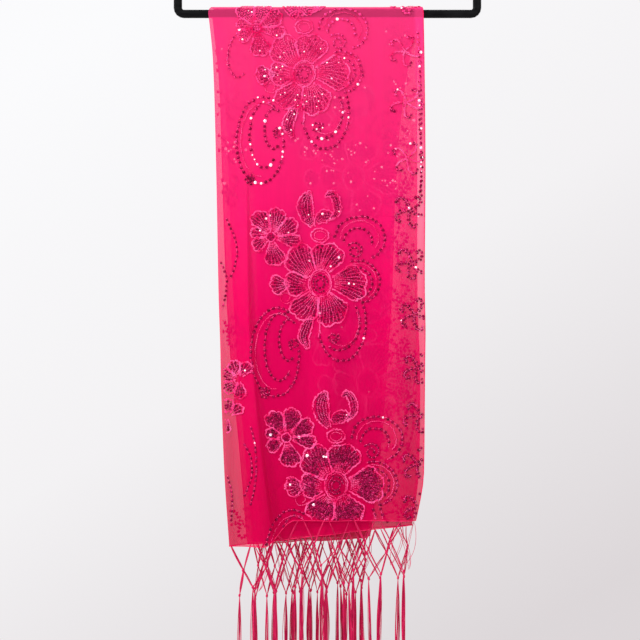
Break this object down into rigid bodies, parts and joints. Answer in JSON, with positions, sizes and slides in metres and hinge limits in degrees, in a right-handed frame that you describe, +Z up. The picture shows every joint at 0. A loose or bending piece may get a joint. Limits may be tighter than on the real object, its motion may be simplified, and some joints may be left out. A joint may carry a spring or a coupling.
{
  "type": "shawl on a hanger",
  "caption": "Sheer embroidered shawl with a knotted fringe, folded lengthwise in three and hung over the bar of a moulded hanger with a fixed hook.",
  "frame": {"origin": "seat of the hook: the middle of the inside of its top, where it rests on a rail", "axes": "+Z up, against gravity, along the hanging cloth; the front, with the embroidered side showing, faces -Y; +X runs along the bar to the right as seen from the front"},
  "size_m": [0.4, 0.0539, 1.0811],
  "materials": {
    "hanger": "black moulded plastic, lightly glossy",
    "cloth": "sheer pink-red chiffon with chain stitch and dark sequins",
    "fringe": "loose silky thread, knotted into a net and left as tassels"
  },
  "bodies": {
    "root": {"hanger": "hanger", "cloth_front_fall": "cloth", "cloth_back_fall": "cloth", "fringe_front": "fringe", "fringe_back": "fringe"}
  },
  "joints": []
}
